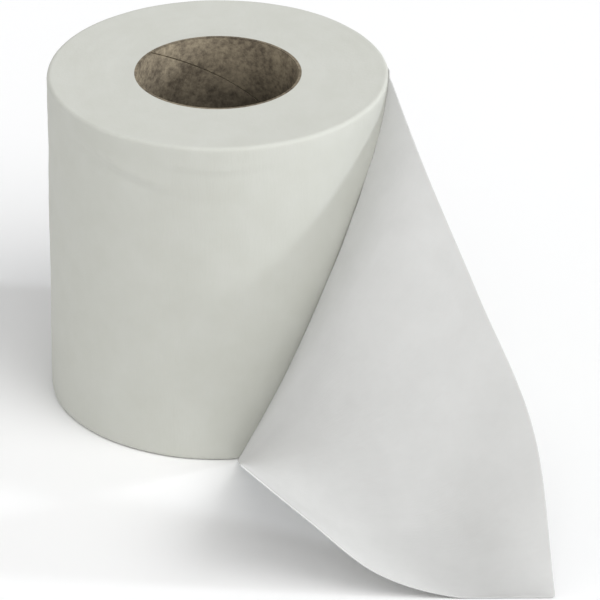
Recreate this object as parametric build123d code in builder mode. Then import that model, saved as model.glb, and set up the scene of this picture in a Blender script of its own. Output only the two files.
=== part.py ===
"""A toilet paper roll that stands on end, with the start of its web peeled off and swept forward.

The frame has +Z up the roll's axis and its origin at the centre of the base. The front is -Y and +X is to the right.
Sizes are in millimetres.
"""

from build123d import *
import os
from math import cos, radians, sin

os.makedirs("parts", exist_ok=True)

# Wound roll
web_width = 98.0  # the web's width is also the roll's height
roll_radius = 48.2
rim_round = 0.8  # the outer turn's cut edges are slightly rubbed over

# Core
core_radius = 23.5  # outside, where the first turn is glued on
core_wall = 0.8

# Free tail
sheet_thickness = 0.45
peel_angle_low = -84.0  # where the web leaves the roll at the base, in degrees from +X
peel_angle_high = -7.0  # where it leaves the roll at the upper rim
peel_bury = 10.0  # depth of the tail's root inside the wound turns
root_inset = 2.0  # the root's two ends stay this far inside the roll's ends
tail_reach = 78.2  # from the front of the roll to the tail's cut end
tail_spread = 42.8  # from the right side of the roll to the tail's far corner


def on_roll(share, lead, proud):
    """A point near the peel line: share goes up the web, lead is degrees past the line, proud is off the roll."""
    angle = radians(peel_angle_low + share * (peel_angle_high - peel_angle_low) - lead)
    radius = roll_radius + proud
    height = root_inset + share * (web_width - 2 * root_inset)
    return Vector(radius * cos(angle), radius * sin(angle), height)


def on_tail(across, forward, up):
    """A point of the free sheet: shares of the spread, of the reach and of the web's width."""
    right = across * (roll_radius + tail_spread)
    return Vector(right, -roll_radius - forward * tail_reach, sheet_thickness / 2 + up * web_width)


# The tail's underside, in rows from the roll to the cut end. Each row runs from the web's lower edge to its upper one.
shares = [0, 0.25, 0.5, 0.75, 1]
root = [on_roll(share, 0, -peel_bury) for share in shares]
curl = [
    on_roll(share, lead, proud)
    for share, lead, proud in zip(shares, [0.5, 5, 11, 12, 4], [1, 2, 3, 3, 3])
]
shoulder = [
    on_tail(0.06, 0.15, 0.06),
    on_tail(0.22, 0.16, 0.32),
    on_tail(0.38, 0.12, 0.56),
    on_tail(0.53, 0.01, 0.76),
    on_tail(0.63, -0.13, 0.88),
]
slope = [
    on_tail(0.06, 0.44, 0.18),
    on_tail(0.26, 0.46, 0.24),
    on_tail(0.46, 0.43, 0.33),
    on_tail(0.65, 0.35, 0.46),
    on_tail(0.79, 0.23, 0.62),
]
trough = [
    on_tail(0.06, 0.73, 0.31),
    on_tail(0.27, 0.73, 0.18),
    on_tail(0.49, 0.71, 0.11),
    on_tail(0.72, 0.66, 0.14),
    on_tail(0.95, 0.57, 0.33),
]
cut_end = [
    on_tail(0.06, 1, 0.42),
    on_tail(0.27, 1, 0.24),
    on_tail(0.5, 1, 0.07),
    on_tail(0.74, 1, 0.01),
    on_tail(1, 1, 0),
]
tail_rows = [root, curl, shoulder, slope, trough, cut_end]

with BuildPart() as cardboard_core:
    with BuildSketch():
        Circle(core_radius)
        Circle(core_radius - core_wall, mode=Mode.SUBTRACT)
    extrude(amount=web_width)

with BuildPart() as paper_web:
    with BuildSketch():
        Circle(roll_radius)
        Circle(core_radius, mode=Mode.SUBTRACT)
    extrude(amount=web_width)
    outer_rims = paper_web.edges().filter_by(GeomType.CIRCLE).group_by(SortBy.RADIUS)[-1]
    fillet(outer_rims, rim_round)
    tail_underside = Face.make_surface_from_array_of_points(tail_rows)
    thicken(tail_underside, sheet_thickness, normal_override=(0, 0, 1))

cardboard_core.part.label = "cardboard_core"
paper_web.part.label = "paper_web"
export_step(cardboard_core.part, "parts/cardboard_core.step")
export_step(paper_web.part, "parts/paper_web.step")

print("paper_web: solids", len(paper_web.solids()), "volume", round(paper_web.part.volume))
print("cardboard_core: solids", len(cardboard_core.solids()), "volume", round(cardboard_core.part.volume))
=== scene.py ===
"""A toilet paper roll that stands on end, with the start of its web peeled off and draped forward."""

import math

import bpy
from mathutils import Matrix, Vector, noise


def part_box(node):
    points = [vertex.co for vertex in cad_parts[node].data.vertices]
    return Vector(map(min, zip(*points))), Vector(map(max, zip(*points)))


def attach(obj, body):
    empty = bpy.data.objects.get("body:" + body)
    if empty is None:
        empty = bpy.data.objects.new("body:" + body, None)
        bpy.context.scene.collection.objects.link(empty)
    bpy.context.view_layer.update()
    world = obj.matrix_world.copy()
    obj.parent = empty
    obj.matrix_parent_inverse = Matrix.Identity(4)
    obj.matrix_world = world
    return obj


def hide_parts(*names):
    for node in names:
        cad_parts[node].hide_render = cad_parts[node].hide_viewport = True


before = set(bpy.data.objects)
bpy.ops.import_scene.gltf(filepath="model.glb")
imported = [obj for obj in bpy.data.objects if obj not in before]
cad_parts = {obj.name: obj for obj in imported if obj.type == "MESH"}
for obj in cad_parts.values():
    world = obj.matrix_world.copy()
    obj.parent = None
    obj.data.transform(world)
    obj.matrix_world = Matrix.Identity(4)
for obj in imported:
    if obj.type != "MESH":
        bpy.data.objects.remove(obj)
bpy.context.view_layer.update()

# ----------------------------------------------------------------------------------------------------------
# Cardboard core. A tube of grey recycled board, wound in a spiral from two strips glued one over the other.
# Core and tissue are sawn through together, so its ends are flush with the web's cut edges.

core_low, core_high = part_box("cardboard_core")
core_radius = (core_high.x - core_low.x) / 2
roll_height = core_high.z - core_low.z
core_wall = 0.0008
ply_thickness = core_wall / 2
strip_pitch = 0.078  # how far the strip climbs in one turn
seam_gap = 0.0004  # neighbouring turns of the strip don't quite meet
strip_start = -0.0506  # the height where the inner strip starts, which puts its seam under the upper end
strip_turns = 3  # enough to pass both ends before they are sawn off
steps_around = 144


def linear(colour):
    """The linear RGBA of an sRGB hex colour."""
    channels = [int(colour[place : place + 2], 16) / 255 for place in (1, 3, 5)]
    return [
        value / 12.92 if value <= 0.04045 else ((value + 0.055) / 1.055) ** 2.4 for value in channels
    ] + [1.0]


def new_material(name, roughness, ior):
    """A material and its Principled shader."""
    material = bpy.data.materials.new(name)
    material.use_nodes = True
    shader = material.node_tree.nodes["Principled BSDF"]
    shader.inputs["Roughness"].default_value = roughness
    shader.inputs["IOR"].default_value = ior
    return material, shader


def add_node(material, kind, inputs, **settings):
    """Adds a node. Its inputs, by name or number, are values or other nodes' outputs."""
    made = material.node_tree.nodes.new(kind)
    for setting, value in settings.items():
        setattr(made, setting, value)
    for socket, value in inputs.items():
        if isinstance(value, bpy.types.NodeSocket):
            material.node_tree.links.new(value, made.inputs[socket])
        else:
            made.inputs[socket].default_value = value
    return made


def deselect_all():
    """Clears the selection, so that the next operators work on the new piece alone."""
    bpy.ops.object.select_all(action="DESELECT")


def apply_modifiers(piece):
    """Applies a piece's modifiers in order."""
    bpy.context.view_layer.objects.active = piece
    for modifier in list(piece.modifiers):
        bpy.ops.object.modifier_apply(modifier=modifier.name)


def wound_strip(name, inner_radius, start_height):
    """One ply of the core: an upright edge screwed round the axis, sawn off square at both ends."""
    deselect_all()
    bpy.ops.mesh.primitive_plane_add(size=strip_pitch - seam_gap, location=(inner_radius, 0, start_height))
    strip = bpy.context.object
    strip.name = name
    bpy.ops.object.mode_set(mode="EDIT")
    bpy.ops.transform.rotate(
        value=math.pi / 2, orient_axis="Y", center_override=(inner_radius, 0, start_height)
    )
    bpy.ops.transform.resize(value=(1, 0, 1), center_override=(inner_radius, 0, start_height))
    bpy.ops.mesh.remove_doubles(threshold=0.0001)
    bpy.ops.object.mode_set(mode="OBJECT")
    bpy.ops.object.transform_apply(location=True, rotation=True, scale=True)
    winding = strip.modifiers.new("winding", "SCREW")
    winding.iterations = strip_turns
    winding.screw_offset = strip_pitch
    winding.steps = steps_around
    winding.render_steps = steps_around
    apply_modifiers(strip)
    bpy.ops.object.mode_set(mode="EDIT")
    for height, upward in ((0, -1), (roll_height, 1)):
        bpy.ops.mesh.select_all(action="SELECT")
        bpy.ops.mesh.bisect(plane_co=(0, 0, height), plane_no=(0, 0, upward), clear_outer=True)
    bpy.ops.mesh.select_all(action="SELECT")
    bpy.ops.mesh.remove_doubles(threshold=0.00001)
    bpy.ops.object.mode_set(mode="OBJECT")
    return strip


inner_ply = wound_strip("core_tube", core_radius - core_wall, strip_start)
outer_ply = wound_strip("core_outer_ply", core_radius - ply_thickness, strip_start + strip_pitch / 2)
for ply in (inner_ply, outer_ply):
    for face in ply.data.polygons:
        if face.normal.dot(Vector((face.center.x, face.center.y, 0))) < 0:
            face.flip()
    board = ply.modifiers.new("board", "SOLIDIFY")
    board.thickness = ply_thickness
    board.offset = 1
    apply_modifiers(ply)
deselect_all()
inner_ply.select_set(True)
outer_ply.select_set(True)
bpy.context.view_layer.objects.active = inner_ply
bpy.ops.object.join()
core_tube = inner_ply
bpy.ops.object.shade_smooth_by_angle(angle=math.radians(40))

# Grey board is made from unsorted waste paper: a dull brown-grey with specks about 1.5 mm across, cloudy on a
# scale of about 10 mm, and no gloss. Its colour is painted darker deeper than some 20 mm in from each end, as
# painted shade for the dim inside of the tube, and the sawn edge itself is painted darker, as painted shade
# on the end face.
grey_board, board_shader = new_material("grey_recycled_board", roughness=0.92, ior=1.45)
board_shader.inputs["Specular IOR Level"].default_value = 0.2
board_place = add_node(grey_board, "ShaderNodeTexCoord", {}).outputs["Object"]
specks = add_node(
    grey_board,
    "ShaderNodeTexNoise",
    {"Vector": board_place, "Scale": 620, "Detail": 6, "Roughness": 0.7},
)
clouds = add_node(
    grey_board,
    "ShaderNodeTexNoise",
    {"Vector": board_place, "Scale": 110, "Detail": 3, "Roughness": 0.5},
)
mottle = add_node(
    grey_board,
    "ShaderNodeMath",
    {0: clouds.outputs["Fac"], 1: 0.5, 2: specks.outputs["Fac"]},
    operation="MULTIPLY_ADD",
)
board_colour = add_node(grey_board, "ShaderNodeValToRGB", {"Fac": mottle.outputs["Value"]})
board_colour.color_ramp.elements[0].position = 0.58
board_colour.color_ramp.elements[0].color = linear("#72685a")
board_colour.color_ramp.elements[1].position = 0.92
board_colour.color_ramp.elements[1].color = linear("#b6a991")
board_height = add_node(grey_board, "ShaderNodeSeparateXYZ", {"Vector": board_place})
above_middle = add_node(
    grey_board, "ShaderNodeMath", {0: board_height.outputs["Z"], 1: roll_height / 2}, operation="SUBTRACT"
)
from_middle = add_node(
    grey_board, "ShaderNodeMath", {0: above_middle.outputs["Value"]}, operation="ABSOLUTE"
)
# Painted shade: deeper than this from each end, the board's colour is darkened for the dim inside of the
# tube.
painted_shade_depth = 0.02
near_end = add_node(
    grey_board,
    "ShaderNodeMapRange",
    {
        "Value": from_middle.outputs["Value"],
        "From Min": roll_height / 2 - painted_shade_depth,
        "From Max": roll_height / 2,
    },
)
# Painted shade: down to about a third in the middle of the tube, full colour near the ends, darker again at
# the sawn edge.
painted_depth_shade = add_node(grey_board, "ShaderNodeValToRGB", {"Fac": near_end.outputs["Result"]})
painted_depth_shade.color_ramp.elements[0].position = 0.05
painted_depth_shade.color_ramp.elements[0].color = (0.35, 0.35, 0.35, 1)
painted_depth_shade.color_ramp.elements[1].position = 0.9
painted_depth_shade.color_ramp.elements[1].color = (1, 1, 1, 1)
painted_depth_shade.color_ramp.elements.new(0.98).color = (1, 1, 1, 1)
painted_depth_shade.color_ramp.elements.new(1).color = (0.6, 0.6, 0.6, 1)
painted_shade_board = add_node(
    grey_board,
    "ShaderNodeVectorMath",
    {0: board_colour.outputs["Color"], 1: painted_depth_shade.outputs["Color"]},
    operation="MULTIPLY",
)
grey_board.node_tree.links.new(painted_shade_board.outputs["Vector"], board_shader.inputs["Base Color"])
board_bump = add_node(
    grey_board, "ShaderNodeBump", {"Height": specks.outputs["Fac"], "Strength": 0.6, "Distance": 0.0002}
)
grey_board.node_tree.links.new(board_bump.outputs["Normal"], board_shader.inputs["Normal"])
core_tube.data.materials.append(grey_board)
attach(core_tube, "root")
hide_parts("cardboard_core")

# ----------------------------------------------------------------------------------------------------------
# Wound turns. Some twenty metres of two-ply creped tissue, wound on the core under light tension and sawn to
# length. The sawn ends show the turns as fine rings. The outer face keeps shallow creases from handling.

roll_radius = 0.0482
skin = 0.0002  # the wall lies this far inside the tail, which is the outermost turn
rim_round = 0.0011  # the sawn edges of the outer turns are rubbed over
wall_cuts = 88  # about every millimetre up the wall, so that it can be creased
end_cuts = 40  # about every 0.6 mm across the sawn ends, so that they can be ringed

deselect_all()
bpy.ops.mesh.primitive_circle_add(vertices=360, radius=core_radius, location=(0, 0, 0))
wound_turns = bpy.context.object
wound_turns.name = "wound_turns"
bpy.ops.object.mode_set(mode="EDIT")
spread = (roll_radius - skin) / core_radius
bpy.ops.mesh.extrude_edges_move()
bpy.ops.transform.resize(value=(spread, spread, 1), center_override=(0, 0, 0))
bpy.ops.mesh.extrude_edges_move(TRANSFORM_OT_translate={"value": (0, 0, roll_height)})
bpy.ops.mesh.extrude_edges_move()
bpy.ops.transform.resize(value=(1 / spread, 1 / spread, 1), center_override=(0, 0, roll_height))
bpy.ops.mesh.select_all(action="DESELECT")
bpy.ops.mesh.select_non_manifold()
bpy.ops.mesh.bridge_edge_loops()
bpy.ops.mesh.select_all(action="SELECT")
bpy.ops.mesh.normals_make_consistent(inside=False)
bpy.ops.object.mode_set(mode="OBJECT")


def select_edges(piece, wanted):
    """Selects the edges whose two ends pass the test, and leaves the piece in edit mode."""
    bpy.ops.object.mode_set(mode="EDIT")
    bpy.ops.mesh.select_all(action="DESELECT")
    bpy.ops.mesh.select_mode(type="EDGE")
    bpy.ops.object.mode_set(mode="OBJECT")
    for edge in piece.data.edges:
        edge.select = wanted(*[piece.data.vertices[end].co for end in edge.vertices])
    bpy.ops.object.mode_set(mode="EDIT")


def far_out(point):
    """True for a point on the outer wall of the wound turns."""
    return math.hypot(point.x, point.y) > roll_radius - 2 * skin


select_edges(wound_turns, lambda a, b: far_out(a) and far_out(b) and abs(a.z - b.z) < skin)
bpy.ops.mesh.bevel(offset=rim_round, segments=4, affect="EDGES")
select_edges(wound_turns, lambda a, b: abs(a.z - b.z) > roll_height / 2 and far_out(a))
bpy.ops.mesh.subdivide(number_cuts=wall_cuts)
select_edges(wound_turns, lambda a, b: abs(a.z - b.z) < 1e-6 and abs(a.xy.length - b.xy.length) > 0.01)
bpy.ops.mesh.subdivide(number_cuts=end_cuts)
bpy.ops.object.mode_set(mode="OBJECT")


def soft_bump(value, middle, width):
    """1 at the middle, 0 a few widths away."""
    return math.exp(-(((value - middle) / width) ** 2))


def crease(below_rim, line, width):
    """Stands out above its line and in below it."""
    return (line - below_rim) / width * soft_bump(below_rim, line, width)


def wall_relief(angle, height):
    """How far the outer turn stands in or out, in metres, at an angle in degrees and a height."""
    radians = math.radians(angle)
    place = Vector((math.cos(radians), math.sin(radians), height / roll_radius)) * 2.2
    unevenness = 0.00022 * noise.noise(place) + 0.0001 * noise.noise(place * 3.1)
    below_rim = roll_height - height
    left_middle = -127
    left_line = 0.0104 + 0.0002 * (angle - left_middle)  # runs down towards the front
    left_crease = soft_bump(angle, left_middle, 17) * crease(below_rim, left_line, 0.0018)
    front_line = 0.0077 - 0.003 * ((angle + 90) / 30) ** 2  # sags in the middle
    front_crease = soft_bump(angle, -92, 22) * crease(below_rim, front_line, 0.0013)
    return unevenness + 0.0009 * left_crease + 0.0003 * front_crease


# The real turns are some 0.3 mm apart. The rings are drawn coarser, so that they show at all.
fine_rings_per_metre = 420
broad_rings_per_metre = 84
for vertex in wound_turns.data.vertices:
    radius = vertex.co.xy.length
    angle = math.degrees(math.atan2(vertex.co.y, vertex.co.x))
    share = max(0.0, (radius - core_radius) / (roll_radius - core_radius))
    if radius > roll_radius - skin - rim_round:
        vertex.co.xy *= 1 + wall_relief(angle, vertex.co.z) / radius
    if abs(vertex.co.z - roll_height / 2) > roll_height / 2 - rim_round:
        outward = 1 if vertex.co.z > roll_height / 2 else -1
        around = vertex.co.xy / radius
        fine = 1 + noise.noise(Vector((0.6 * around.x, 0.6 * around.y, fine_rings_per_metre * radius)))
        broad = 1 + noise.noise(Vector((1.2 * around.x, 1.2 * around.y, broad_rings_per_metre * radius)))
        flat_at_rims = min(1, 8 * share * (1.02 - share))
        vertex.co.z -= outward * flat_at_rims * (0.00004 * fine + 0.0001 * broad)
bpy.ops.object.shade_smooth_by_angle(angle=math.radians(60))

# ----------------------------------------------------------------------------------------------------------
# Free tail. The start of the web, still joined to the roll by its outermost turn. It was peeled off along a
# slant, folded outwards and swept forward, so that its inner face shows and its sawn end reaches the floor.

web_width = roll_height
quarters = (0, 0.25, 0.5, 0.75, 1)  # of the web's width, from its lower edge
peel_line = (-84, -68, -52.5, -34.5, 2)  # where the web leaves the roll at each quarter, in degrees
fold_leads = (0, 0.5, 0.8, 0.8, 7)  # how far the fold stands past that line, in degrees
fold_proud = (0.0004, 0.0006, 0.0007, 0.0006, 0.0003)  # and how far off the roll
tail_length = 0.168  # along the web's upper edge, from the upper rim to the sawn end
wrapped_length = 0.009  # the stretch of the outermost turn behind the peel line
tail_reach = 0.0782  # from the front of the roll to the sawn end
tail_spread = 0.0428  # from the right side of the roll to the tail's far corner
tissue_thickness = 0.0003


def smooth_through(places, points, place):
    """The point at a place on a smooth curve through the points, each of which has its own place."""
    last = len(places) - 2
    here = max(index for index in range(last + 1) if index == 0 or places[index] <= place)
    span = places[here + 1] - places[here]

    def slope(index):
        before = max(index - 1, 0)
        after = min(index + 1, len(places) - 1)
        return (points[after] - points[before]) / (places[after] - places[before])

    part = (place - places[here]) / span
    leaving = points[here] * (2 * part**3 - 3 * part**2 + 1)
    leaving += slope(here) * span * (part**3 - 2 * part**2 + part)
    arriving = points[here + 1] * (3 * part**2 - 2 * part**3)
    arriving += slope(here + 1) * span * (part**3 - part**2)
    return leaving + arriving


def on_roll(share, lead, proud):
    """A point at a share up the web, a lead in degrees past the peel line, and so far proud of the roll."""
    angle = math.radians(smooth_through(quarters, peel_line, share) - lead)
    radius = roll_radius + proud
    return Vector((radius * math.cos(angle), radius * math.sin(angle), share * web_width))


def on_tail(across, forward, up):
    """A point of the free sheet: shares of the spread, of the reach and of the web's width."""
    right = across * (roll_radius + tail_spread)
    return Vector((right, -roll_radius - forward * tail_reach, tissue_thickness + up * web_width))


# Rows from the roll to the sawn end. Each runs from the web's lower edge to its upper one.
root = [on_roll(share, 0, 0) for share in quarters]
fold = [on_roll(share, lead, proud) for share, lead, proud in zip(quarters, fold_leads, fold_proud)]
shoulder = [
    on_tail(0.056, 0.15, 0.06),
    on_tail(0.22, 0.16, 0.31),
    on_tail(0.38, 0.12, 0.55),
    on_tail(0.53, 0.01, 0.75),
    on_tail(0.625, -0.13, 0.885),
]
slope = [
    on_tail(0.06, 0.44, 0.18),
    on_tail(0.26, 0.46, 0.24),
    on_tail(0.46, 0.43, 0.33),
    on_tail(0.65, 0.35, 0.46),
    on_tail(0.785, 0.23, 0.62),
]
trough = [
    on_tail(0.06, 0.73, 0.31),
    on_tail(0.27, 0.73, 0.175),
    on_tail(0.49, 0.71, 0.11),
    on_tail(0.715, 0.66, 0.14),
    on_tail(0.945, 0.57, 0.33),
]
sawn_end = [
    on_tail(0.06, 1, 0.425),
    on_tail(0.26, 1, 0.25),
    on_tail(0.47, 1, 0.078),
    on_tail(0.72, 1, 0),
    on_tail(0.998, 1, 0),
]
tail_rows = [root, fold, shoulder, slope, trough, sawn_end]
row_places = (0, 0.025, 0.21, 0.49, 0.76, 1)  # how far along the free sheet each row lies


def peel_angle(across):
    """Where the web leaves the roll at a share across it, in radians."""
    return math.radians(smooth_through(quarters, peel_line, across))


def peeled(across):
    """How much of the tail's length, from the upper rim, is still on the roll at a share across the web."""
    return (math.radians(peel_line[-1]) - peel_angle(across)) * roll_radius


def wrapped_point(across, behind):
    """A point still on the roll: behind is 0 at the peel line and 1 at the far end of the wrapped stretch."""
    angle = peel_angle(across) + behind * wrapped_length / roll_radius
    tucked = rim_round * (0.5 + 0.5 * min(1, 3 * behind))
    height = min(max(across * web_width, tucked), roll_height - tucked)
    sunk = (2 * skin + abs(wall_relief(math.degrees(angle), height))) * min(1, 2 * behind)
    radius = roll_radius - sunk
    return Vector((radius * math.cos(angle), radius * math.sin(angle), height))


def free_point(across, place):
    """A point of the free sheet: place is 0 at the peel line and 1 at the sawn end."""
    row_points = [smooth_through(quarters, row, across) for row in tail_rows]
    point = smooth_through(row_places, row_points, place)
    # The floor holds the sheet up, and it leaves the roll just under the rounded rim.
    point.z = min(max(point.z, tissue_thickness), web_width - rim_round / 2)
    return point


deselect_all()
columns = 66  # about 1.5 mm wide
rows = 150  # about 1.2 mm long at the upper edge
bpy.ops.mesh.primitive_grid_add(x_subdivisions=columns, y_subdivisions=rows, size=1)
tail = bpy.context.object
tail.name = "free_tail"
for vertex in tail.data.vertices:
    across = vertex.co.x + 0.5
    free_length = tail_length - peeled(across)
    past_peel = (vertex.co.y + 0.5) * (wrapped_length + free_length) - wrapped_length
    if past_peel < 0:
        vertex.co = wrapped_point(across, -past_peel / wrapped_length)
    else:
        vertex.co = free_point(across, past_peel / free_length)
smoothing = tail.modifiers.new("finer", "SUBSURF")
smoothing.levels = 1
smoothing.render_levels = 1
thickness = tail.modifiers.new("two_plies", "SOLIDIFY")
thickness.thickness = tissue_thickness
thickness.offset = 0
apply_modifiers(tail)
bpy.ops.object.shade_smooth_by_angle(angle=math.radians(60))


def creped_tissue(name, palest, dullest, let_through, scatter_length, layout, stretch):
    """Creped tissue that lets a share of the light through. The stretch lengthens the crepe's ripples."""
    tissue, shader = new_material(name, roughness=0.95, ior=1.45)
    shader.inputs["Subsurface Weight"].default_value = let_through
    shader.inputs["Subsurface Scale"].default_value = scatter_length
    shader.inputs["Subsurface Radius"].default_value = (1, 1, 1)
    shader.inputs["Specular IOR Level"].default_value = 0.2
    place = add_node(tissue, "ShaderNodeTexCoord", {})
    clouds = add_node(
        tissue,
        "ShaderNodeTexNoise",
        {"Vector": place.outputs["Object"], "Scale": 90, "Detail": 5, "Roughness": 0.6},
    )
    colour = add_node(tissue, "ShaderNodeValToRGB", {"Fac": clouds.outputs["Fac"]})
    colour.color_ramp.elements[0].position = 0.3
    colour.color_ramp.elements[0].color = linear(dullest)
    colour.color_ramp.elements[1].position = 0.7
    colour.color_ramp.elements[1].color = linear(palest)
    tissue.node_tree.links.new(colour.outputs["Color"], shader.inputs["Base Color"])
    along_crepe = add_node(tissue, "ShaderNodeMapping", {"Vector": place.outputs[layout], "Scale": stretch})
    ripples = add_node(
        tissue,
        "ShaderNodeTexNoise",
        {"Vector": along_crepe.outputs["Vector"], "Scale": 900, "Detail": 4, "Roughness": 0.7},
    )
    bump = add_node(
        tissue, "ShaderNodeBump", {"Height": ripples.outputs["Fac"], "Strength": 0.5, "Distance": 0.00015}
    )
    tissue.node_tree.links.new(bump.outputs["Normal"], shader.inputs["Normal"])
    return tissue


# Creped tissue from recycled fibre: a dull, slightly warm off-white that never shines. One loose sheet is so
# thin that its shaded side still glows, while the light dies out in the wound turns. The crepe is ripples
# that run across the web some 0.4 mm apart. They are drawn about 1 mm apart, so that they show at all.
long_ripples = 0.15  # across the web they change this much more slowly than along it
wound_turns.data.materials.append(
    creped_tissue(
        "creped_recycled_tissue",
        palest="#cccdc6",
        dullest="#c8c9c1",
        let_through=0.3,
        scatter_length=0.0005,
        layout="Object",
        stretch=(1, 1, long_ripples),
    )
)
tail.data.materials.append(
    creped_tissue(
        "creped_recycled_tissue_sheet",
        palest="#c4c4c2",
        dullest="#bfbfbd",
        let_through=0.6,
        scatter_length=0.002,
        layout="UV",
        stretch=(long_ripples * web_width, tail_length, 1),
    )
)
for piece in (wound_turns, tail):
    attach(piece, "root")
    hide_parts("paper_web")
# Its rear edge follows the slanting peel line, so its flat area is less than the whole rectangle's.
mean_peeled = sum(peeled(share) for share in quarters) / len(quarters)

# ----------------------------------------------------------------------------------------------------------
# Studio: a pale floor, an even white surround, and soft lights from the right, the front and the left.

deselect_all()
bpy.ops.mesh.primitive_plane_add(size=6, location=(0, 0, 0))
studio_floor = bpy.context.object
studio_floor.name = "studio_floor"
white_vinyl, vinyl_shader = new_material("white_vinyl_backdrop", roughness=0.8, ior=1.5)
vinyl_shader.inputs["Base Color"].default_value = linear("#fafafa")
studio_floor.data.materials.append(white_vinyl)

world = bpy.data.worlds.new("white_studio")
bpy.context.scene.world = world
world.use_nodes = True
world.node_tree.nodes["Background"].inputs["Color"].default_value = (1, 1, 1, 1)
world.node_tree.nodes["Background"].inputs["Strength"].default_value = 0.45
bpy.context.scene.view_settings.view_transform = "Standard"


def soft_light(name, azimuth, elevation, spread, strength, colour):
    """A far soft light at an azimuth and elevation, and as wide as its spread, all in degrees."""
    turn = math.radians(azimuth)
    rise = math.radians(elevation)
    toward = Vector((math.cos(turn) * math.cos(rise), math.sin(turn) * math.cos(rise), math.sin(rise)))
    light = bpy.data.lights.new(name, "SUN")
    light.energy = strength
    light.angle = math.radians(spread)
    light.color = colour
    lamp = bpy.data.objects.new(name, light)
    bpy.context.scene.collection.objects.link(lamp)
    lamp.location = toward
    lamp.rotation_euler = (-toward).to_track_quat("-Z", "Y").to_euler()


white = (1, 1, 1)
daylight = (0.9, 0.94, 1)
soft_light("low_from_the_right", azimuth=-10, elevation=18, spread=6, strength=0.85, colour=daylight)
soft_light("high_from_the_right", azimuth=-40, elevation=50, spread=40, strength=1.1, colour=white)
soft_light("high_from_the_front", azimuth=-75, elevation=50, spread=60, strength=0.95, colour=white)
soft_light("low_from_the_left", azimuth=-165, elevation=25, spread=60, strength=0.25, colour=white)

camera_distance = 2.07  # from the middle of the roll
camera_elevation = math.radians(27.14)
view_centre = Vector((0.0229, -0.0094, 0.0306))  # what the middle of the view looks at
camera_data = bpy.data.cameras.new("camera")
camera_data.lens = 437.8
camera_data.clip_end = 20
camera = bpy.data.objects.new("camera", camera_data)
bpy.context.scene.collection.objects.link(camera)
away = Vector((0, -math.cos(camera_elevation), math.sin(camera_elevation)))
camera.location = Vector((0, 0, roll_height / 2)) + away * camera_distance
camera.rotation_euler = (view_centre - camera.location).to_track_quat("-Z", "Y").to_euler()
bpy.context.scene.camera = camera
